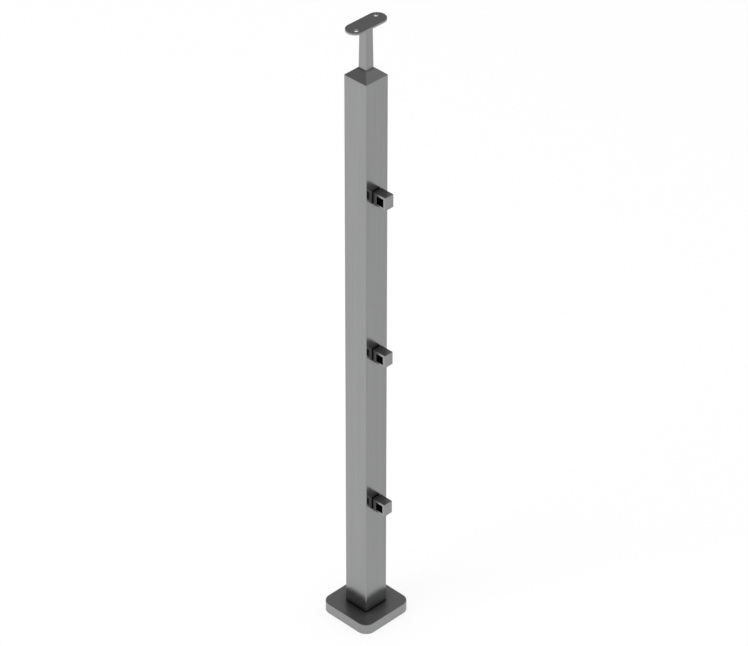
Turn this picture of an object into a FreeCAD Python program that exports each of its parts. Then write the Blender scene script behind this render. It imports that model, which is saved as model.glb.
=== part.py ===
import FreeCAD, Part
import math
import os
import re

import Sketcher

# Railing post: a square steel tube on a foot plate, with three bar holders, a hipped cap and a saddle.
# Millimetres. The origin is on the tube's axis at the floor, +Z up, +X along the railing.
# The bar holders are on the -Y face.

SIZES = {
    "post_height": 875,         # floor to the edge of the cap's roof
    "saddle_rise": 76.5,         # from there to the top of the saddle plate
    "tube_side": 40,
    "tube_wall": 2,
    "tube_corner": 1.2,
    "foot_side": 80,
    "foot_thickness": 6,
    "foot_corner": 8,
    "anchor_hole": 10,
    "anchor_pitch": 58,
    "cover_room": 3,            # between the foot plate and the cover's wall
    "cover_height": 16,
    "cover_wall": 1.5,
    "cover_corner": 15,
    "cover_edge": 1.2,          # radius of the pressed edge round the top
    "cover_clearance": 0.8,     # all round between the cover's hole and the tube
    "cap_rim": 2,               # what lies on the tube's end
    "cap_roof": 11.5,
    "cap_skirt": 12,
    "cap_wall": 3,
    "cap_clearance": 0.3,
    "stem_side": 14,
    "stem_top": 12.5,
    "stem_corner": 1,
    "stem_screw": 8,
    "stem_screw_length": 25,
    "stem_screw_head": 13,
    "stem_screw_key": 6,
    "stem_screw_room": 3,       # hole past the end of the screw
    "saddle_length": 65,
    "saddle_width": 26,
    "saddle_thickness": 3,
    "saddle_edge": 0.4,
    "saddle_hole": 7,
    "saddle_hole_inset": 10,    # from the plate's end to the middle of a hole
    "saddle_hole_stagger": 10,  # across the rail
    "holder_first": 200,        # floor to the middle of the lowest holder
    "holder_pitch": 250,
    "holder_width": 15,
    "holder_depth": 22,
    "holder_height": 20,
    "holder_front": 4,          # the wall in front of the bar
    "holder_edge": 0.5,
    "bar_side": 12,
    "bar_room": 0.5,            # by which the socket is wider than the bar
    "spacer_thickness": 1,
    "spacer_inset": 1,
    "screw_diameter": 5,
    "screw_head": 8.5,
    "screw_head_height": 3.5,
    "screw_length": 16,         # over its head
    "screw_key": 3,
    "screw_key_depth": 1.6,
    "screw_clearance": 0.2,     # round the shank and the head
    "nut_sleeve": 7,
    "nut_length": 11,           # behind the tube's face
    "nut_flange": 9.8,
    "nut_bulge": 9,             # where the sleeve is squeezed out behind the tube's wall
    "nut_clearance": 0.1,       # round the sleeve and the flange
    "thread_clearance": 0.05,   # round a screw in its thread
    "grub_diameter": 4,
    "grub_key": 2,
    "grub_key_depth": 2,
}
HOLDER_COUNT = 3
MARGIN = 1                      # how far a tool reaches out of what it cuts

doc = FreeCAD.newDocument("RailingPost")
sheet = doc.addObject("Spreadsheet::Sheet", "Sizes")
for row, (alias, number) in enumerate(SIZES.items(), start=1):
    sheet.set("A%d" % row, alias)
    sheet.set("B%d" % row, str(number))
    sheet.setAlias("B%d" % row, alias)
doc.recompute()

parts = []


def formula(text):
    """Give the names of sizes in a formula their sheet, as in Sizes.tube_side / 2."""
    def cell(word):
        return "Sizes." + word.group() if word.group() in SIZES else word.group()
    return re.sub(r"[a-z][a-z_]+", cell, text)


def value(text):
    """Work out a formula of sizes as a number."""
    return float(sheet.evalExpression(formula(text)))


def bind(thing, **formulas):
    """Tie properties to formulas of sizes; a double underscore in a name stands for a dot."""
    for name, text in formulas.items():
        thing.setExpression(name.replace("__", "."), formula(text))


def new_body(label):
    body = doc.addObject("PartDesign::Body", label)
    body.Label = label
    parts.append(body)
    return body


def origin_feature(body, role):
    return next(feature for feature in body.Origin.OriginFeatures if feature.Role == role)


def new_sketch(body, name, role="XY_Plane", across="0", along="0", out="0"):
    """Make a sketch on an origin plane, moved by formulas along its own axes."""
    sketch = body.newObject("Sketcher::SketchObject", name)
    sketch.AttachmentSupport = (origin_feature(body, role), [""])
    sketch.MapMode = "FlatFace"
    bind(sketch, AttachmentOffset__Base__x=across, AttachmentOffset__Base__y=along,
         AttachmentOffset__Base__z=out)
    return sketch


def dimension(sketch, name, text, *constraint):
    """Add a constraint with a dimension that follows a formula."""
    index = sketch.addConstraint(Sketcher.Constraint(*constraint, value(text)))
    sketch.renameConstraint(index, name)
    sketch.setExpression("Constraints." + name, formula(text))


def rounded_rectangle(sketch, name, width, height, radius):
    """Draw a rectangle with round corners about the sketch's origin."""
    half_w = value(width) / 2
    half_h = value(height) / 2
    r = value(radius)
    corners = [(1, -1), (1, 1), (-1, 1), (-1, -1)]
    lines = []
    arcs = []
    for turn, (sx, sy) in enumerate(corners):
        centre = FreeCAD.Vector(sx * (half_w - r), sy * (half_h - r), 0)
        begin = math.radians(90 * turn - 90)
        circle = Part.Circle(centre, FreeCAD.Vector(0, 0, 1), r)
        arcs.append(sketch.addGeometry(Part.ArcOfCircle(circle, begin, begin + math.pi / 2)))
    for turn in range(4):
        last = sketch.Geometry[arcs[turn - 1]].EndPoint
        first = sketch.Geometry[arcs[turn]].StartPoint
        lines.append(sketch.addGeometry(Part.LineSegment(last, first)))
    for turn in range(4):
        sketch.addConstraint(Sketcher.Constraint("Tangent", lines[turn], 2, arcs[turn], 1))
        sketch.addConstraint(Sketcher.Constraint("Tangent", arcs[turn - 1], 2, lines[turn], 1))
        level = "Horizontal" if turn % 2 == 0 else "Vertical"
        sketch.addConstraint(Sketcher.Constraint(level, lines[turn]))
    for arc in arcs[1:]:
        sketch.addConstraint(Sketcher.Constraint("Equal", arcs[0], arc))
    sketch.addConstraint(Sketcher.Constraint("Symmetric", arcs[0], 3, arcs[2], 3, -1, 1))
    dimension(sketch, name + "_width", width, "DistanceX", lines[3], 1, lines[1], 1)
    dimension(sketch, name + "_height", height, "DistanceY", lines[0], 1, lines[2], 1)
    dimension(sketch, name + "_radius", radius, "Radius", arcs[0])


def square(sketch, half, name="square"):
    """Draw a sharp square about the sketch's origin, half its side given by a formula."""
    other = "-(%s)" % half
    outline(sketch, [(half, other), (half, half), (other, half), (other, other)], name)


def circle(sketch, name, diameter, across="0", along="0"):
    """Draw a circle, with its centre given by formulas."""
    centre = FreeCAD.Vector(value(across), value(along), 0)
    ring = Part.Circle(centre, FreeCAD.Vector(0, 0, 1), value(diameter) / 2)
    index = sketch.addGeometry(ring)
    pin_point(sketch, name, index, 3, across, along)
    dimension(sketch, name + "_diameter", diameter, "Diameter", index)


def pin_point(sketch, name, index, end, across, along):
    """Fix a point of a sketch by its two coordinates."""
    if across == "0":
        sketch.addConstraint(Sketcher.Constraint("PointOnObject", index, end, -2))
    else:
        dimension(sketch, name + "_x", across, "DistanceX", -1, 1, index, end)
    if along == "0":
        sketch.addConstraint(Sketcher.Constraint("PointOnObject", index, end, -1))
    else:
        dimension(sketch, name + "_y", along, "DistanceY", -1, 1, index, end)


def outline(sketch, points, name="corner"):
    """Draw a closed outline of straight lines through points given by formulas."""
    places = [FreeCAD.Vector(value(across), value(along), 0) for across, along in points]
    count = len(points)
    lines = [sketch.addGeometry(Part.LineSegment(places[i], places[(i + 1) % count]))
             for i in range(count)]
    for i, (across, along) in enumerate(points):
        sketch.addConstraint(Sketcher.Constraint("Coincident", lines[i - 1], 2, lines[i], 1))
        pin_point(sketch, "%s%d" % (name, i), lines[i], 1, across, along)


def hexagon(sketch, name, across_flats):
    """Draw a hexagon about the sketch's origin."""
    reach = value(across_flats) / math.sqrt(3)
    places = [FreeCAD.Vector(reach * math.cos(math.radians(60 * i)),
                             reach * math.sin(math.radians(60 * i)), 0) for i in range(6)]
    lines = [sketch.addGeometry(Part.LineSegment(places[i], places[(i + 1) % 6]))
             for i in range(6)]
    ring = sketch.addGeometry(Part.Circle(FreeCAD.Vector(), FreeCAD.Vector(0, 0, 1), reach), True)
    sketch.addConstraint(Sketcher.Constraint("Coincident", ring, 3, -1, 1))
    for i in range(6):
        sketch.addConstraint(Sketcher.Constraint("Coincident", lines[i - 1], 2, lines[i], 1))
        sketch.addConstraint(Sketcher.Constraint("PointOnObject", lines[i], 1, ring))
    for line in lines[1:]:
        sketch.addConstraint(Sketcher.Constraint("Equal", lines[0], line))
    sketch.addConstraint(Sketcher.Constraint("PointOnObject", lines[0], 1, -1))
    dimension(sketch, name + "_reach", across_flats + " / sqrt(3)", "Radius", ring)


def pad(body, sketch, name, length, reverse=False, middle=False):
    feature = body.newObject("PartDesign::Pad", name)
    feature.Profile = sketch
    feature.Reversed = reverse
    feature.Midplane = middle
    bind(feature, Length=length)
    return feature


def pocket(body, sketch, name, depth, reverse=False):
    feature = body.newObject("PartDesign::Pocket", name)
    feature.Profile = sketch
    feature.Reversed = reverse
    bind(feature, Length=depth)
    return feature


def turned(body, sketch, name, kind="PartDesign::Revolution"):
    """Revolve a sketch about its own horizontal axis."""
    feature = body.newObject(kind, name)
    feature.Profile = sketch
    feature.ReferenceAxis = (sketch, ["H_Axis"])
    feature.Angle = 360
    return feature


def hipped_block(body, name, bottom, top, side_below, side_above):
    """Add a block on the Z axis that narrows from one square to another."""
    feature = body.newObject("PartDesign::AdditiveWedge", name)
    feature.AttachmentSupport = (origin_feature(body, "XZ_Plane"), [""])
    feature.MapMode = "FlatFace"
    below, above = side_below + " / 2", side_above + " / 2"
    bind(feature, Ymin=bottom, Ymax=top,
         Xmin="-" + below, Xmax=below, Zmin="-" + below, Zmax=below,
         X2min="-" + above, X2max=above, Z2min="-" + above, Z2max=above)


def soften_edges(body, name, wanted, **size):
    """Fillet (Radius=) or chamfer (Size=) the edges of the last feature for which wanted is true."""
    doc.recompute()
    base = body.Tip
    names = ["Edge%d" % number for number, edge in enumerate(base.Shape.Edges, start=1)
             if wanted(edge)]
    kind = "PartDesign::Fillet" if "Radius" in size else "PartDesign::Chamfer"
    feature = body.newObject(kind, name)
    feature.Base = (base, names)
    bind(feature, **size)
    return feature


def lies_at(level):
    """Choose edges that lie wholly at one height."""
    return lambda edge: max(abs(edge.BoundBox.ZMin - level), abs(edge.BoundBox.ZMax - level)) < 1e-4


# Tube

def make_post_tube():
    body = new_body("post_tube")
    section = new_sketch(body, "tube_section", out="foot_thickness")
    rounded_rectangle(section, "outside", "tube_side", "tube_side", "tube_corner")
    square(section, "tube_side / 2 - tube_wall")
    pad(body, section, "tube_pad", "post_height - cap_rim - foot_thickness")
    nut_holes = new_sketch(body, "nut_hole_sketch", "XZ_Plane", along="holder_first")
    circle(nut_holes, "nut_hole", "nut_sleeve + 2 * nut_clearance")
    hole = pocket(body, nut_holes, "nut_hole", "tube_side / 2 + %d" % MARGIN, reverse=True)
    row = body.newObject("PartDesign::LinearPattern", "nut_holes")
    row.Originals = [hole]
    row.Direction = (origin_feature(body, "Z_Axis"), [""])
    row.Occurrences = HOLDER_COUNT
    bind(row, Length="%d * holder_pitch" % (HOLDER_COUNT - 1))
    body.Tip = row


# Foot

COVER_INSIDE = "(foot_side + 2 * cover_room)"
COVER_SIDE = "(%s + 2 * cover_wall)" % COVER_INSIDE


def make_foot_plate():
    body = new_body("foot_plate")
    plate = new_sketch(body, "foot_outline")
    rounded_rectangle(plate, "foot", "foot_side", "foot_side", "foot_corner")
    pad(body, plate, "foot_pad", "foot_thickness")
    anchor = new_sketch(body, "anchor_sketch", out="foot_thickness")
    circle(anchor, "anchor", "anchor_hole", "anchor_pitch / 2", "anchor_pitch / 2")
    hole = pocket(body, anchor, "anchor_hole", "foot_thickness + %d" % MARGIN)
    ring = body.newObject("PartDesign::PolarPattern", "anchor_holes")
    ring.Originals = [hole]
    ring.Axis = (origin_feature(body, "Z_Axis"), [""])
    ring.Angle = 360
    ring.Occurrences = 4
    body.Tip = ring


def make_base_cover():
    """The pressed sheet cover that slides up the tube."""
    body = new_body("base_cover")
    skin = new_sketch(body, "cover_outline")
    rounded_rectangle(skin, "skin", COVER_SIDE, COVER_SIDE, "cover_corner")
    pad(body, skin, "cover_pad", "cover_height")
    soften_edges(body, "cover_edge_round", lies_at(value("cover_height")), Radius="cover_edge")
    hollow = new_sketch(body, "cover_hollow_sketch", out="cover_height - cover_wall")
    rounded_rectangle(hollow, "hollow", COVER_INSIDE, COVER_INSIDE, "cover_corner - cover_wall")
    pocket(body, hollow, "cover_hollow", "cover_height")
    collar = new_sketch(body, "cover_hole_sketch", out="cover_height")
    opening = "tube_side + 2 * cover_clearance"
    rounded_rectangle(collar, "hole", opening, opening, "tube_corner + cover_clearance")
    pocket(body, collar, "cover_hole", "cover_height")


# Cap and saddle

def make_top_cap():
    """The hipped cap, its skirt pushed into the tube."""
    body = new_body("top_cap")
    rim = new_sketch(body, "rim_outline", out="post_height - cap_rim")
    square(rim, "tube_side / 2")
    pad(body, rim, "rim_pad", "cap_rim")
    hipped_block(body, "roof", "post_height", "post_height + cap_roof", "tube_side", "stem_side")
    trim = new_sketch(body, "corner_trim", out="post_height + cap_roof")
    square(trim, "tube_side / 2 + %d" % MARGIN)
    rounded_rectangle(trim, "kept", "tube_side", "tube_side", "tube_corner")
    pocket(body, trim, "round_corners", "cap_roof + cap_rim")
    skirt = new_sketch(body, "skirt_section", out="post_height - cap_rim")
    skirt_half = "tube_side / 2 - tube_wall - cap_clearance"
    square(skirt, skirt_half)
    square(skirt, skirt_half + " - cap_wall", "cavity")
    pad(body, skirt, "skirt_pad", "cap_skirt", reverse=True)
    screw_hole = new_sketch(body, "cap_hole_sketch", out="post_height + cap_roof + %d" % MARGIN)
    circle(screw_hole, "cap_hole", "stem_screw + 2 * screw_clearance")
    pocket(body, screw_hole, "cap_hole", "cap_roof + cap_rim + %d" % (2 * MARGIN))


def make_saddle_stem():
    body = new_body("saddle_stem")
    seat = "post_height + cap_roof"
    top = "post_height + saddle_rise - saddle_thickness"
    hipped_block(body, "stem_taper", seat, top, "stem_side", "stem_top")
    height = value("saddle_rise - saddle_thickness - cap_roof")
    soften_edges(body, "stem_corners", lambda edge: edge.BoundBox.ZLength > height / 2,
                 Radius="stem_corner")
    tapped = new_sketch(body, "stem_hole_sketch", out=seat)
    circle(tapped, "stem_hole", "stem_screw + 2 * thread_clearance")
    pocket(body, tapped, "stem_hole",
           "stem_screw_length - cap_rim - cap_roof + stem_screw_room", reverse=True)


def make_stem_screw():
    """The cap screw that pulls the stem down on the cap, put in from inside the tube."""
    body = new_body("stem_screw")
    under_cap = "post_height - cap_rim"
    shank = new_sketch(body, "shank_sketch", out=under_cap)
    circle(shank, "shank", "stem_screw")
    pad(body, shank, "shank_pad", "stem_screw_length")
    head = new_sketch(body, "head_sketch", out=under_cap)
    circle(head, "head", "stem_screw_head")
    pad(body, head, "head_pad", "stem_screw", reverse=True)
    key = new_sketch(body, "key_sketch", out=under_cap + " - stem_screw")
    hexagon(key, "key", "stem_screw_key")
    pocket(body, key, "key_pocket", "stem_screw / 2", reverse=True)


def make_saddle_plate():
    body = new_body("saddle_plate")
    plate = new_sketch(body, "saddle_outline", out="post_height + saddle_rise - saddle_thickness")
    round_end(plate, "saddle", "saddle_length", "saddle_width")
    across = "(saddle_length / 2 - saddle_hole_inset)"
    along = "saddle_hole_stagger / 2"
    circle(plate, "near_hole", "saddle_hole", "-" + across, "-" + along)
    circle(plate, "far_hole", "saddle_hole", across, along)
    pad(body, plate, "saddle_pad", "saddle_thickness")
    at_top = lies_at(value("post_height + saddle_rise"))
    hole_radius = value("saddle_hole") / 2

    def top_rim(edge):
        is_hole = hasattr(edge.Curve, "Radius") and abs(edge.Curve.Radius - hole_radius) < 1e-4
        return at_top(edge) and not is_hole

    soften_edges(body, "saddle_edges", top_rim, Size="saddle_edge")


def round_end(sketch, name, length, width):
    """Draw an oblong with full round ends about the sketch's origin, its length along X."""
    r = value(width) / 2
    half = value(length) / 2 - r
    up = FreeCAD.Vector(0, 0, 1)
    right = sketch.addGeometry(Part.ArcOfCircle(
        Part.Circle(FreeCAD.Vector(half, 0, 0), up, r), -math.pi / 2, math.pi / 2))
    left = sketch.addGeometry(Part.ArcOfCircle(
        Part.Circle(FreeCAD.Vector(-half, 0, 0), up, r), math.pi / 2, 3 * math.pi / 2))
    top = sketch.addGeometry(Part.LineSegment(
        sketch.Geometry[right].EndPoint, sketch.Geometry[left].StartPoint))
    bottom = sketch.addGeometry(Part.LineSegment(
        sketch.Geometry[left].EndPoint, sketch.Geometry[right].StartPoint))
    for first, second in [(right, top), (top, left), (left, bottom), (bottom, right)]:
        sketch.addConstraint(Sketcher.Constraint("Tangent", first, 2, second, 1))
    sketch.addConstraint(Sketcher.Constraint("Symmetric", left, 3, right, 3, -1, 1))
    sketch.addConstraint(Sketcher.Constraint("Horizontal", top))
    dimension(sketch, name + "_centres", length + " - " + width, "DistanceX", left, 3, right, 3)
    dimension(sketch, name + "_radius", width + " / 2", "Radius", right)


# Bar holders, each piece at its height by its own placement

HOLDER_FACE = "(tube_side / 2 + spacer_thickness)"     # from the axis to the holder's back
HOLDER_FRONT = "(%s + holder_depth)" % HOLDER_FACE
SOCKET_HALF = "((bar_side + bar_room) / 2)"
SOCKET_MIDDLE = "(%s - holder_front - %s)" % (HOLDER_FRONT, SOCKET_HALF)
SOCKET_BACK = "(%s - %s)" % (SOCKET_MIDDLE, SOCKET_HALF)
HOLDER_FLOOR = "(holder_height / 2 - %s)" % SOCKET_HALF    # the wall under the bar
SCREW_SEAT = "(%s - screw_head_height)" % SOCKET_BACK      # what the screw's head rests on


def place_at_holder(body, index):
    bind(body, Placement__Base__z="holder_first + %d * holder_pitch" % index)


def make_bar_holder(index):
    body = new_body("bar_holder_%d" % (index + 1))
    block = new_sketch(body, "block_section", "YZ_Plane")
    back, front = "-" + HOLDER_FACE, "-" + HOLDER_FRONT
    outline(block, [(back, "-holder_height / 2"), (back, "holder_height / 2"),
                    (front, "holder_height / 2"), (front, "-holder_height / 2")])
    pad(body, block, "block_pad", "holder_width", middle=True)
    soften_edges(body, "block_edges", lambda edge: True, Size="holder_edge")
    socket = new_sketch(body, "socket_section", "YZ_Plane", across="-" + SOCKET_MIDDLE,
                        out="-(holder_width / 2 + %d)" % MARGIN)
    square(socket, SOCKET_HALF)
    pocket(body, socket, "socket", "holder_width + %d" % (2 * MARGIN), reverse=True)
    seat = new_sketch(body, "screw_seat_section", "YZ_Plane")
    mouth = "-(%s + %d)" % (SOCKET_BACK, MARGIN)
    behind = "-(%s - %d)" % (HOLDER_FACE, MARGIN)
    head_hole = "screw_head / 2 + screw_clearance"
    shank_hole = "screw_diameter / 2 + screw_clearance"
    outline(seat, [(mouth, "0"), (mouth, head_hole), ("-" + SCREW_SEAT, head_hole),
                   ("-" + SCREW_SEAT, shank_hole), (behind, shank_hole), (behind, "0")])
    turned(body, seat, "screw_seat", "PartDesign::Groove")
    tapped = new_sketch(body, "grub_hole_sketch", across="0", along="-" + SOCKET_MIDDLE,
                        out="-(holder_height / 2 + %d)" % MARGIN)
    circle(tapped, "grub_hole", "grub_diameter + 2 * thread_clearance")
    pocket(body, tapped, "grub_hole", "%s + %d" % (HOLDER_FLOOR, 2 * MARGIN), reverse=True)
    place_at_holder(body, index)


def make_holder_spacer(index):
    """The thin pad between holder and tube, round the nut's flange."""
    body = new_body("holder_spacer_%d" % (index + 1))
    pad_sketch = new_sketch(body, "spacer_outline", "XZ_Plane", out="tube_side / 2")
    half_width, half_height = "(holder_width / 2 - spacer_inset)", "(holder_height / 2 - spacer_inset)"
    outline(pad_sketch, [(half_width, "-" + half_height), (half_width, half_height),
                         ("-" + half_width, half_height), ("-" + half_width, "-" + half_height)])
    circle(pad_sketch, "spacer_hole", "nut_flange + 2 * nut_clearance")
    pad(body, pad_sketch, "spacer_pad", "spacer_thickness")
    place_at_holder(body, index)


def make_holder_screw(index):
    """A cap screw whose low head is sunk in the holder's back wall, inside the socket."""
    body = new_body("holder_screw_%d" % (index + 1))
    section = new_sketch(body, "screw_section", "YZ_Plane")
    outline(section, [
        ("-" + SOCKET_BACK, "0"),
        ("-" + SOCKET_BACK, "screw_head / 2"),
        ("-" + SCREW_SEAT, "screw_head / 2"),
        ("-" + SCREW_SEAT, "screw_diameter / 2"),
        ("-(%s - screw_length)" % SOCKET_BACK, "screw_diameter / 2"),
        ("-(%s - screw_length)" % SOCKET_BACK, "0"),
    ])
    turned(body, section, "screw_turned")
    key = new_sketch(body, "screw_key_sketch", "XZ_Plane", out=SOCKET_BACK)
    hexagon(key, "key", "screw_key")
    pocket(body, key, "screw_key", "screw_key_depth")
    place_at_holder(body, index)


def make_rivet_nut(index):
    """A nut squeezed into the tube's wall, its flange under the holder."""
    body = new_body("rivet_nut_%d" % (index + 1))
    section = new_sketch(body, "nut_section", "YZ_Plane")
    face = "tube_side / 2"
    back = "(%s - tube_wall)" % face
    bore = "screw_diameter / 2 + thread_clearance"
    outline(section, [
        ("-(%s + spacer_thickness)" % face, bore),
        ("-(%s + spacer_thickness)" % face, "nut_flange / 2"),
        ("-(%s)" % face, "nut_flange / 2"),
        ("-(%s)" % face, "nut_sleeve / 2"),
        ("-" + back, "nut_sleeve / 2"),
        ("-" + back, "nut_bulge / 2"),
        ("-(%s - nut_length)" % face, "nut_bulge / 2"),
        ("-(%s - nut_length)" % face, bore),
    ])
    turned(body, section, "nut_turned")
    place_at_holder(body, index)


def make_grub_screw(index):
    """The set screw under the holder that clamps the bar."""
    body = new_body("grub_screw_%d" % (index + 1))
    shank = new_sketch(body, "grub_sketch", along="-" + SOCKET_MIDDLE, out="-holder_height / 2")
    circle(shank, "grub", "grub_diameter")
    pad(body, shank, "grub_pad", HOLDER_FLOOR)
    key = new_sketch(body, "grub_key_sketch", along="-" + SOCKET_MIDDLE, out="-holder_height / 2")
    hexagon(key, "key", "grub_key")
    pocket(body, key, "grub_key", "grub_key_depth", reverse=True)
    place_at_holder(body, index)


make_post_tube()
make_foot_plate()
make_base_cover()
make_top_cap()
make_saddle_stem()
make_stem_screw()
make_saddle_plate()
for holder_index in range(HOLDER_COUNT):
    make_bar_holder(holder_index)
    make_holder_spacer(holder_index)
    make_holder_screw(holder_index)
    make_rivet_nut(holder_index)
    make_grub_screw(holder_index)
doc.recompute()

for thing in doc.Objects:
    if "Invalid" in thing.State or "Error" in thing.State:
        raise RuntimeError("%s in %s" % (thing.State, thing.Name))
for piece in parts:
    if piece.Shape.isNull() or not piece.Shape.isValid() or len(piece.Shape.Solids) != 1:
        raise RuntimeError("bad shape of " + piece.Label)

os.makedirs("parts", exist_ok=True)
for piece in parts:
    piece.Shape.exportStep("parts/%s.step" % piece.Label)
    box = piece.Shape.BoundBox
    print("%-18s %10.1f mm3  x %7.2f %7.2f  y %7.2f %7.2f  z %7.2f %7.2f" % (
        piece.Label, piece.Shape.Volume, box.XMin, box.XMax, box.YMin, box.YMax, box.ZMin, box.ZMax))
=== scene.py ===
import math

import bmesh
import bpy
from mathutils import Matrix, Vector


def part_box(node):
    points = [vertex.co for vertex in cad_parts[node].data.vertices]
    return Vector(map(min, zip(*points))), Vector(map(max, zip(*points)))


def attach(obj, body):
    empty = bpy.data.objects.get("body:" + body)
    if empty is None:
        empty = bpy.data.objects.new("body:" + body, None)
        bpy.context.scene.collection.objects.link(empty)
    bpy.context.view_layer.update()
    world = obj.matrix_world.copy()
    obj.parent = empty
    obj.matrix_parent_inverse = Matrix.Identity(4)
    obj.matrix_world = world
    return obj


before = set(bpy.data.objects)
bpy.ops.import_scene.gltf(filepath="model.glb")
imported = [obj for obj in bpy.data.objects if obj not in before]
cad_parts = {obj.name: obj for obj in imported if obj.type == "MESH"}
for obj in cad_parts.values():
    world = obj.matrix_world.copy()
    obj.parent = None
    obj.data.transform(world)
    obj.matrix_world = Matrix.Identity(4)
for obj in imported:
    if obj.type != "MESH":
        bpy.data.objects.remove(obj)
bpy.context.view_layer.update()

# A square steel railing post in a white studio. Metres, +Z up, +X along the railing.

# Camera, fitted to the photograph's frame
FRAME_WIDTH = 748
FRAME_HEIGHT = 646
FOCAL_PIXELS = 3814
AXIS_COLUMN = 366.05        # the pixel column of the post's axis
LEVEL_ROW = 329.2           # the pixel row of the camera's aim
AIM_HEIGHT = 0.479
CAMERA_DISTANCE = 5.083
CAMERA_AZIMUTH = -45
CAMERA_ELEVATION = 35.06
SENSOR = 36

# Studio
FLOOR_RADIUS = 14
FLOOR_SIDES = 96
FLOOR_DROP = 0.0004
FLOOR_COLOUR = 0.8          # of the part that is lit, not of the part that glows
FLOOR_SEEN = 1.09           # the floor's glow where the camera sees it
FLOOR_GLOW_SHARE = 0.75     # the rest is lit by the lamp and the world, and takes the shadow
FLOOR_LEFT = 1.04           # the floor's glow in the steel's mirror, left of the post to the camera
FLOOR_RIGHT = 0.86          # and right of it
FLOOR_BLEND = 0.35          # how far to each side the one passes into the other
WORLD_LIGHT = 0.8           # the world's strength as a light; the camera sees it as 1, white
CEILING = 0.325             # the ceiling as the steel mirrors it, against 1 at the horizon
CEILING_START = 0.5         # the sine of the height at which the ceiling is reached
SIDE_GLOW = 0.2             # most that is added on the right of the ceiling
SIDE_GLOW_START = 0.1       # how far to the right that begins
LAMP_PLACE = (-2.4, 0.6, 3.0)
LAMP_AIM = (0, 0, 0.3)
LAMP_POWER = 30
LAMP_SIZE = 1.6

# Steel, as linear colours
STEEL_TONE = (0.324, 0.328, 0.326)
PLATE_TONE = (0.30, 0.30, 0.30)
FASTENER_TONE = (0.27, 0.27, 0.27)
WELD_TONE = (0.36, 0.355, 0.345)
GROUND = 0.2                # roughness of the ground steel
TURNED = 0.25
WELDED = 0.28
MILLED = 0.3
PRESSED = 0.33
ROUGHNESS_SPREAD = 0.02     # how far the grain, and the slow change, move the roughness
GRAIN_FINE = 2600           # grain lines per metre across the brushing
GRAIN_LONG = 26             # and along it
GRAIN_TONE = 0.035          # how far the grain's lines lie from the mean tone, as a share
GRAIN_RAMP = 0.25           # share of the noise's scale at each end that stays darkest or lightest
GRAIN_DEPTH = 0.00001
GRAIN_BUMP = 0.35           # share of that depth that the shading shows
STREAK_WIDE = 260           # wide streaks per metre across the brushing
STREAK_LONG = 5             # and along it
STREAK_DEPTH = 0.06         # how far the streaks lie from the mean tone, as a share
CLOUD_SCALE = (9, 9, 4)     # changes per metre along X, Y and Z of the slow change in roughness
EDGE_ROUND = 0.0004         # how far the shading rounds a sharp edge
EDGE_SAMPLES = 6

# Rubber
RUBBER_DARK = (0.03, 0.03, 0.03, 1)
RUBBER_LIGHT = (0.06, 0.06, 0.061, 1)
RUBBER_SPECKLE = 1800
RUBBER_ROUGHNESS = (0.55, 0.75)

# Painted shade in crevices, darkening the colour where ambient occlusion finds walls near: how near a wall
# has to be to darken a corner, the openness at which a place is darkest and clear, and whether upright faces
# stay clear
PLAIN_PAINTED_SHADE = (0.012, 0.3, 0.8, False)
COVER_PAINTED_SHADE = (0.024, 0.25, 0.92, True)
TUBE_PAINTED_SHADE = (0.014, 0.1, 0.84, False)
HOLDER_PAINTED_SHADE = (0.026, 0.25, 0.95, False)
CAP_PAINTED_SHADE = (0.005, 0.77, 0.98, False)
STEM_PAINTED_SHADE = (0.005, 0.45, 0.98, False)
PAINTED_SHADE_DARKEST = 0.004     # what the painted shade leaves of the colour deep in a hole
CREVICE_SAMPLES = 16

# Welds
TUBE_CORNER = 0.0012
FOOT_WELD_LEG = 0.004
STEM_CORNER = 0.001
STEM_WELD_LEG = 0.0012
WELD_STEP = 0.00025         # spacing of the weld's cross-sections
WELD_ARC = 8                # faces across the weld
WELD_SINK = 0.0001          # how far the weld reaches into the two pieces that it joins
WELD_RIPPLE = 0.0016        # from one ripple of the weld to the next
RIPPLE_HEIGHT = 0.14        # of the leg
RIPPLE_BEND = 0.6           # how far a ripple's middle runs ahead of its ends, in ripples
WANDER_DEPTH = 0.03         # of the leg
WANDER_TURNS = (410, 173)   # radians per metre along the weld
WANDER_START = 1.3
WELD_HOLLOW = 0.16          # how much flatter the weld is in its middle than a round one
FIT = 0.0001                # how near a point has to be to lie on a face


def new_material(name):
    material = bpy.data.materials.new(name)
    material.use_nodes = True
    material.node_tree.nodes.clear()
    return material, material.node_tree.nodes, material.node_tree.links


def math_node(nodes, links, operation, first, second=0.0, clamp=False):
    """Add a Math node whose inputs are numbers or sockets, and return its output."""
    node = nodes.new("ShaderNodeMath")
    node.operation = operation
    node.use_clamp = clamp
    for index, source in enumerate((first, second)):
        if isinstance(source, (int, float)):
            node.inputs[index].default_value = source
        else:
            links.new(source, node.inputs[index])
    return node.outputs[0]


def stretched_noise(nodes, links, scale, detail=3.0):
    """Noise over the piece's own coordinates, with a scale per axis."""
    place = nodes.new("ShaderNodeTexCoord")
    mapping = nodes.new("ShaderNodeMapping")
    mapping.inputs["Scale"].default_value = scale
    noise = nodes.new("ShaderNodeTexNoise")
    noise.inputs["Scale"].default_value = 1.0
    noise.inputs["Detail"].default_value = detail
    links.new(place.outputs["Object"], mapping.inputs["Vector"])
    links.new(mapping.outputs["Vector"], noise.inputs["Vector"])
    return noise.outputs["Fac"]


def ranged(nodes, links, source, low, high):
    """Spread a 0 to 1 value from low to high."""
    node = nodes.new("ShaderNodeMapRange")
    node.inputs["To Min"].default_value = low
    node.inputs["To Max"].default_value = high
    links.new(source, node.inputs["Value"])
    return node.outputs["Result"]


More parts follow.
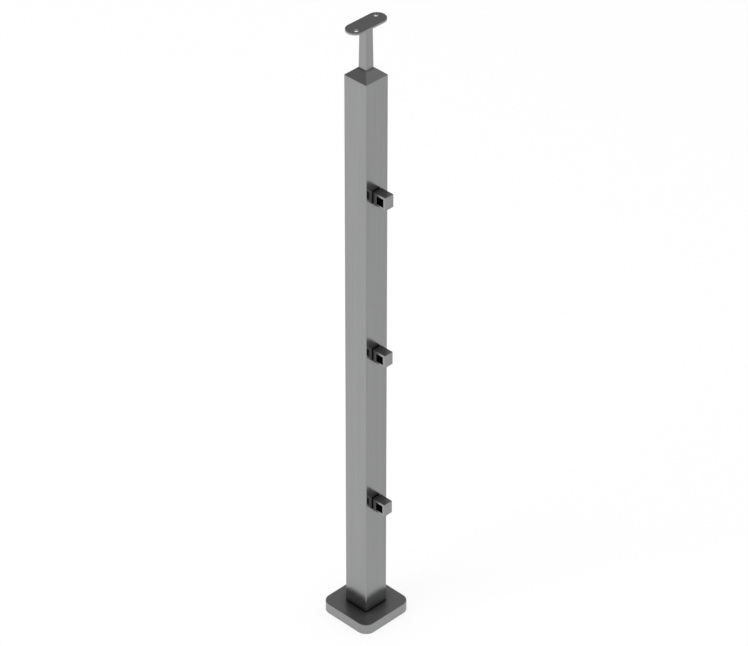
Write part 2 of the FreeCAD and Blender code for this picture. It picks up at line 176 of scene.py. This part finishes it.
def painted_crevice_shade(nodes, links, reach, shut, clear, only_level):
    """Painted shade from ambient occlusion: 1 on open faces, falling to near 0 deep in a hole, a gap or a
    corner.
    """
    corner = nodes.new("ShaderNodeAmbientOcclusion")
    corner.samples = CREVICE_SAMPLES
    corner.inputs["Distance"].default_value = reach
    spread = nodes.new("ShaderNodeMapRange")
    spread.inputs["From Min"].default_value = shut
    spread.inputs["From Max"].default_value = clear
    spread.inputs["To Min"].default_value = PAINTED_SHADE_DARKEST
    links.new(corner.outputs["AO"], spread.inputs["Value"])
    if not only_level:
        return spread.outputs["Result"]
    surface = nodes.new("ShaderNodeNewGeometry")
    split = nodes.new("ShaderNodeSeparateXYZ")
    links.new(surface.outputs["True Normal"], split.inputs["Vector"])
    upright = math_node(nodes, links, "SUBTRACT", 1.0,
                        math_node(nodes, links, "ABSOLUTE", split.outputs["Z"]))
    return math_node(nodes, links, "MAXIMUM", spread.outputs["Result"], upright)


def steel(name, tone, grain_axis, roughness=GROUND, painted_shade=PLAIN_PAINTED_SHADE):
    """Brushed steel: fine lines along one axis in colour, roughness and bump, over faint streaks, with
    painted shade darkening its colour in corners, gaps and holes.
    """
    material, nodes, links = new_material(name)
    grain_scale = [GRAIN_FINE] * 3
    grain_scale["XYZ".index(grain_axis)] = GRAIN_LONG
    grain = stretched_noise(nodes, links, grain_scale)
    streak_scale = [STREAK_WIDE] * 3
    streak_scale["XYZ".index(grain_axis)] = STREAK_LONG
    streak = stretched_noise(nodes, links, streak_scale, 1.0)
    cloud = stretched_noise(nodes, links, CLOUD_SCALE, 2.0)
    shader = nodes.new("ShaderNodeBsdfPrincipled")
    shader.inputs["Metallic"].default_value = 1.0
    ramp = nodes.new("ShaderNodeValToRGB")
    low, high = ramp.color_ramp.elements
    low.position, high.position = GRAIN_RAMP, 1 - GRAIN_RAMP
    low.color = [(1 - GRAIN_TONE) * c for c in tone] + [1]
    high.color = [(1 + GRAIN_TONE) * c for c in tone] + [1]
    links.new(grain, ramp.inputs["Fac"])
    grain_streaks_and_painted_shade = nodes.new("ShaderNodeVectorMath")
    grain_streaks_and_painted_shade.operation = "SCALE"
    links.new(ramp.outputs["Color"], grain_streaks_and_painted_shade.inputs[0])
    # painted shade in corners, gaps and holes, times the faint streaks, scales the grain's colour
    painted_shade_and_streaks = math_node(nodes, links, "MULTIPLY", painted_crevice_shade(nodes, links, *painted_shade),
                     ranged(nodes, links, streak, 1 - STREAK_DEPTH, 1 + STREAK_DEPTH))
    links.new(painted_shade_and_streaks, grain_streaks_and_painted_shade.inputs["Scale"])
    links.new(grain_streaks_and_painted_shade.outputs["Vector"], shader.inputs["Base Color"])
    mixed = math_node(nodes, links, "ADD",
                      ranged(nodes, links, grain, -ROUGHNESS_SPREAD, ROUGHNESS_SPREAD),
                      ranged(nodes, links, cloud, roughness - ROUGHNESS_SPREAD, roughness + ROUGHNESS_SPREAD))
    links.new(mixed, shader.inputs["Roughness"])
    relief = nodes.new("ShaderNodeBump")
    relief.inputs["Strength"].default_value = GRAIN_BUMP
    relief.inputs["Distance"].default_value = GRAIN_DEPTH
    edge = nodes.new("ShaderNodeBevel")
    edge.samples = EDGE_SAMPLES
    edge.inputs["Radius"].default_value = EDGE_ROUND
    links.new(edge.outputs["Normal"], relief.inputs["Normal"])
    links.new(grain, relief.inputs["Height"])
    links.new(relief.outputs["Normal"], shader.inputs["Normal"])
    output = nodes.new("ShaderNodeOutputMaterial")
    links.new(shader.outputs["BSDF"], output.inputs["Surface"])
    return material


def rubber(name):
    """Matt black rubber with a fine speckle."""
    material, nodes, links = new_material(name)
    speckle = stretched_noise(nodes, links, [RUBBER_SPECKLE] * 3)
    shader = nodes.new("ShaderNodeBsdfPrincipled")
    ramp = nodes.new("ShaderNodeValToRGB")
    low, high = ramp.color_ramp.elements
    low.color = RUBBER_DARK
    high.color = RUBBER_LIGHT
    links.new(speckle, ramp.inputs["Fac"])
    links.new(ramp.outputs["Color"], shader.inputs["Base Color"])
    links.new(ranged(nodes, links, speckle, *RUBBER_ROUGHNESS), shader.inputs["Roughness"])
    output = nodes.new("ShaderNodeOutputMaterial")
    links.new(shader.outputs["BSDF"], output.inputs["Surface"])
    return material


def dress(node, material):
    """Give a carried-over solid its material."""
    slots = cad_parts[node].data.materials
    slots.clear()
    slots.append(material)


def dress_all():
    """Give every solid its steel or rubber, with the grain along the way it was ground."""
    # each steel carries its own painted shade in corners, gaps and holes; the holder's, also used on the
    # fasteners, paints the socket nearly black
    along_z = steel("steel_brushed_z", STEEL_TONE, "Z", GROUND, TUBE_PAINTED_SHADE)
    along_x = steel("steel_brushed_x", STEEL_TONE, "X")
    plate = steel("steel_mill", PLATE_TONE, "Y", MILLED)
    holder = steel("steel_holder", STEEL_TONE, "X", GROUND, HOLDER_PAINTED_SHADE)
    fastener = steel("steel_fastener", FASTENER_TONE, "Z", TURNED, HOLDER_PAINTED_SHADE)
    pad = rubber("rubber_black")
    materials = {
        "post_tube": along_z, "saddle_plate": along_x, "foot_plate": plate,
        "saddle_stem": steel("steel_stem", STEEL_TONE, "Z", GROUND, STEM_PAINTED_SHADE),
        "top_cap": steel("steel_cap", STEEL_TONE, "X", GROUND, CAP_PAINTED_SHADE),
        "base_cover": steel("steel_cover", STEEL_TONE, "X", PRESSED, COVER_PAINTED_SHADE),
    }
    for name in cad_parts:
        if name.startswith("bar_holder"):
            materials[name] = holder
        elif name.startswith("holder_spacer"):
            materials[name] = pad
        materials.setdefault(name, fastener)
        dress(name, materials[name])


def square_path(half, corner, step):
    """Points round a square with round corners, each with its outward direction, about step apart."""
    path = []
    side = 2 * (half - corner)
    turns = max(3, round(math.pi / 2 * corner / step))
    for quarter in range(4):
        along = Vector((math.cos(quarter * math.pi / 2), math.sin(quarter * math.pi / 2), 0))
        out = Vector((along.y, -along.x, 0))
        count = round(side / step)
        for i in range(count):
            path.append((out * half + along * (side * (i / count - 0.5)), out))
        middle = (out + along) * (half - corner)
        for i in range(turns):
            angle = math.pi / 2 * i / turns
            aim = out * math.cos(angle) + along * math.sin(angle)
            path.append((middle + aim * corner, aim))
    return path


def weld_bead(name, half, corner, level, leg, upward, material):
    """A rippled fillet weld round a square section on a plate; upward is 1 above the plate, -1 below."""
    mesh = bmesh.new()
    rings = []
    travelled = 0.0
    last = None
    for point, out in square_path(half, corner, WELD_STEP):
        travelled += (point - last).length if last else 0.0
        last = point
        inner = point - out * WELD_SINK + Vector((0, 0, level - upward * WELD_SINK))
        ring = [mesh.verts.new(inner)]
        for i in range(WELD_ARC + 1):
            share = i / WELD_ARC
            bow = math.sin(math.pi * share)
            phase = travelled / WELD_RIPPLE + RIPPLE_BEND * bow
            ridge = (phase % 1) ** 2
            wander = (math.sin(travelled * WANDER_TURNS[0])
                      + math.sin(travelled * WANDER_TURNS[1] + WANDER_START))
            swell = 1 - WANDER_DEPTH + WANDER_DEPTH * wander + RIPPLE_HEIGHT * bow * ridge
            across = leg * swell * math.sin(share * math.pi / 2)
            height = leg * swell * math.cos(share * math.pi / 2)
            full = 1 - WELD_HOLLOW + WELD_HOLLOW * abs(2 * share - 1)
            ring.append(mesh.verts.new(inner + out * (across * full + WELD_SINK)
                                       + Vector((0, 0, upward * (height * full + WELD_SINK)))))
        rings.append(ring)
    for i, ring in enumerate(rings):
        following = rings[(i + 1) % len(rings)]
        for j in range(len(ring)):
            after = (j + 1) % len(ring)
            mesh.faces.new((ring[j], ring[after], following[after], following[j]))
    bmesh.ops.recalc_face_normals(mesh, faces=mesh.faces)
    data = bpy.data.meshes.new(name)
    mesh.to_mesh(data)
    mesh.free()
    for face in data.polygons:
        face.use_smooth = True
    data.materials.append(material)
    bead = bpy.data.objects.new(name, data)
    bpy.context.scene.collection.objects.link(bead)
    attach(bead, "post")


def make_welds():
    """The weld of the tube on its foot plate, and the small one of the stem under the saddle."""
    weld = steel("steel_weld", WELD_TONE, "Z", WELDED)
    tube_low, tube_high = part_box("post_tube")
    weld_bead("foot_weld", tube_high[0], TUBE_CORNER, tube_low[2], FOOT_WELD_LEG, 1, weld)
    plate_low, plate_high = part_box("saddle_plate")
    stem_half = max(vertex.co.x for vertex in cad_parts["saddle_stem"].data.vertices
                    if vertex.co.z > plate_low[2] - FIT)
    weld_bead("saddle_weld", stem_half, STEM_CORNER, plate_low[2], STEM_WELD_LEG, -1, weld)


def is_seen_or_mirrored(nodes, links):
    """1 for camera, glossy and transmission rays, 0 for the light that falls on surfaces."""
    path = nodes.new("ShaderNodeLightPath")
    seen = math_node(nodes, links, "MAXIMUM", path.outputs["Is Camera Ray"], path.outputs["Is Glossy Ray"])
    return math_node(nodes, links, "MAXIMUM", seen, path.outputs["Is Transmission Ray"])


def make_floor():
    """A pale floor that shows as white and keeps a soft shadow."""
    bpy.ops.mesh.primitive_circle_add(vertices=FLOOR_SIDES, radius=FLOOR_RADIUS, fill_type="NGON",
                                      location=(0, 0, -FLOOR_DROP))
    floor = bpy.context.object
    floor.name = "studio_floor"
    material, nodes, links = new_material("floor_white")
    diffuse = nodes.new("ShaderNodeBsdfDiffuse")
    diffuse.inputs["Color"].default_value = (FLOOR_COLOUR, FLOOR_COLOUR, FLOOR_COLOUR, 1)
    glow = nodes.new("ShaderNodeEmission")
    glow.inputs["Color"].default_value = (1, 1, 1, 1)
    place = nodes.new("ShaderNodeTexCoord")
    split = nodes.new("ShaderNodeSeparateXYZ")
    links.new(place.outputs["Object"], split.inputs["Vector"])
    side = math_node(nodes, links, "SUBTRACT", split.outputs["X"], split.outputs["Y"])
    fall = nodes.new("ShaderNodeMapRange")
    fall.interpolation_type = "SMOOTHSTEP"
    fall.inputs["From Min"].default_value = -FLOOR_BLEND
    fall.inputs["From Max"].default_value = FLOOR_BLEND
    fall.inputs["To Min"].default_value = FLOOR_LEFT
    fall.inputs["To Max"].default_value = FLOOR_RIGHT
    links.new(side, fall.inputs["Value"])
    path = nodes.new("ShaderNodeLightPath")
    lit = nodes.new("ShaderNodeMix")
    lit.inputs["A"].default_value = FLOOR_SEEN
    links.new(path.outputs["Is Glossy Ray"], lit.inputs["Factor"])
    links.new(fall.outputs["Result"], lit.inputs["B"])
    links.new(lit.outputs["Result"], glow.inputs["Strength"])
    blend = nodes.new("ShaderNodeMixShader")
    share = math_node(nodes, links, "MULTIPLY", is_seen_or_mirrored(nodes, links), FLOOR_GLOW_SHARE)
    links.new(share, blend.inputs["Fac"])
    links.new(diffuse.outputs["BSDF"], blend.inputs[1])
    links.new(glow.outputs["Emission"], blend.inputs[2])
    output = nodes.new("ShaderNodeOutputMaterial")
    links.new(blend.outputs["Shader"], output.inputs["Surface"])
    floor.data.materials.append(material)


def make_world():
    """White where the camera looks; mirrored, a white horizon under a dimmer ceiling."""
    world = bpy.data.worlds.new("studio")
    bpy.context.scene.world = world
    world.use_nodes = True
    nodes, links = world.node_tree.nodes, world.node_tree.links
    nodes.clear()
    place = nodes.new("ShaderNodeTexCoord")
    split = nodes.new("ShaderNodeSeparateXYZ")
    links.new(place.outputs["Generated"], split.inputs["Vector"])
    height = nodes.new("ShaderNodeMapRange")
    height.interpolation_type = "SMOOTHSTEP"
    height.inputs["From Min"].default_value = 0.0
    height.inputs["From Max"].default_value = CEILING_START
    height.inputs["To Min"].default_value = 1.0
    height.inputs["To Max"].default_value = CEILING
    links.new(split.outputs["Z"], height.inputs["Value"])
    side = math_node(nodes, links, "SUBTRACT", split.outputs["X"], split.outputs["Y"])
    glow = nodes.new("ShaderNodeMapRange")
    glow.interpolation_type = "SMOOTHSTEP"
    glow.inputs["From Min"].default_value = SIDE_GLOW_START
    glow.inputs["From Max"].default_value = 1.0
    glow.inputs["To Min"].default_value = 0.0
    glow.inputs["To Max"].default_value = SIDE_GLOW
    links.new(side, glow.inputs["Value"])
    lit = math_node(nodes, links, "ADD", height.outputs["Result"], glow.outputs["Result"], True)
    mirrored = math_node(nodes, links, "MULTIPLY", lit, WORLD_LIGHT)
    path = nodes.new("ShaderNodeLightPath")
    seen = math_node(nodes, links, "MAXIMUM", path.outputs["Is Camera Ray"],
                     path.outputs["Is Transmission Ray"])
    level = nodes.new("ShaderNodeMix")
    links.new(ranged(nodes, links, seen, WORLD_LIGHT, 1.0), level.inputs["A"])
    links.new(path.outputs["Is Glossy Ray"], level.inputs["Factor"])
    links.new(mirrored, level.inputs["B"])
    background = nodes.new("ShaderNodeBackground")
    background.inputs["Color"].default_value = (1, 1, 1, 1)
    links.new(level.outputs["Result"], background.inputs["Strength"])
    output = nodes.new("ShaderNodeOutputWorld")
    links.new(background.outputs["Background"], output.inputs["Surface"])


def make_lamp():
    """One large soft lamp, high on the left."""
    light = bpy.data.lights.new("softbox", "AREA")
    light.energy = LAMP_POWER
    light.size = LAMP_SIZE
    lamp = bpy.data.objects.new("softbox", light)
    bpy.context.scene.collection.objects.link(lamp)
    lamp.location = LAMP_PLACE
    lamp.rotation_euler = (Vector(LAMP_AIM) - lamp.location).to_track_quat("-Z", "Y").to_euler()
    lamp.visible_glossy = False


def make_camera():
    """The photograph's camera, as fitted to its edges."""
    azimuth = math.radians(CAMERA_AZIMUTH)
    elevation = math.radians(CAMERA_ELEVATION)
    back = Vector((math.sin(azimuth) * math.cos(elevation), -math.cos(azimuth) * math.cos(elevation),
                   math.sin(elevation)))
    data = bpy.data.cameras.new("camera")
    data.sensor_width = SENSOR
    data.lens = SENSOR * FOCAL_PIXELS / FRAME_WIDTH
    data.shift_x = 0.5 - AXIS_COLUMN / FRAME_WIDTH
    data.shift_y = (LEVEL_ROW - FRAME_HEIGHT / 2) / FRAME_WIDTH
    camera = bpy.data.objects.new("camera", data)
    bpy.context.scene.collection.objects.link(camera)
    camera.location = Vector((0, 0, AIM_HEIGHT)) + CAMERA_DISTANCE * back
    camera.rotation_euler = (-back).to_track_quat("-Z", "Y").to_euler()
    bpy.context.scene.camera = camera


dress_all()
make_welds()
make_floor()
make_world()
make_lamp()
make_camera()
bpy.context.scene.view_settings.view_transform = "Standard"
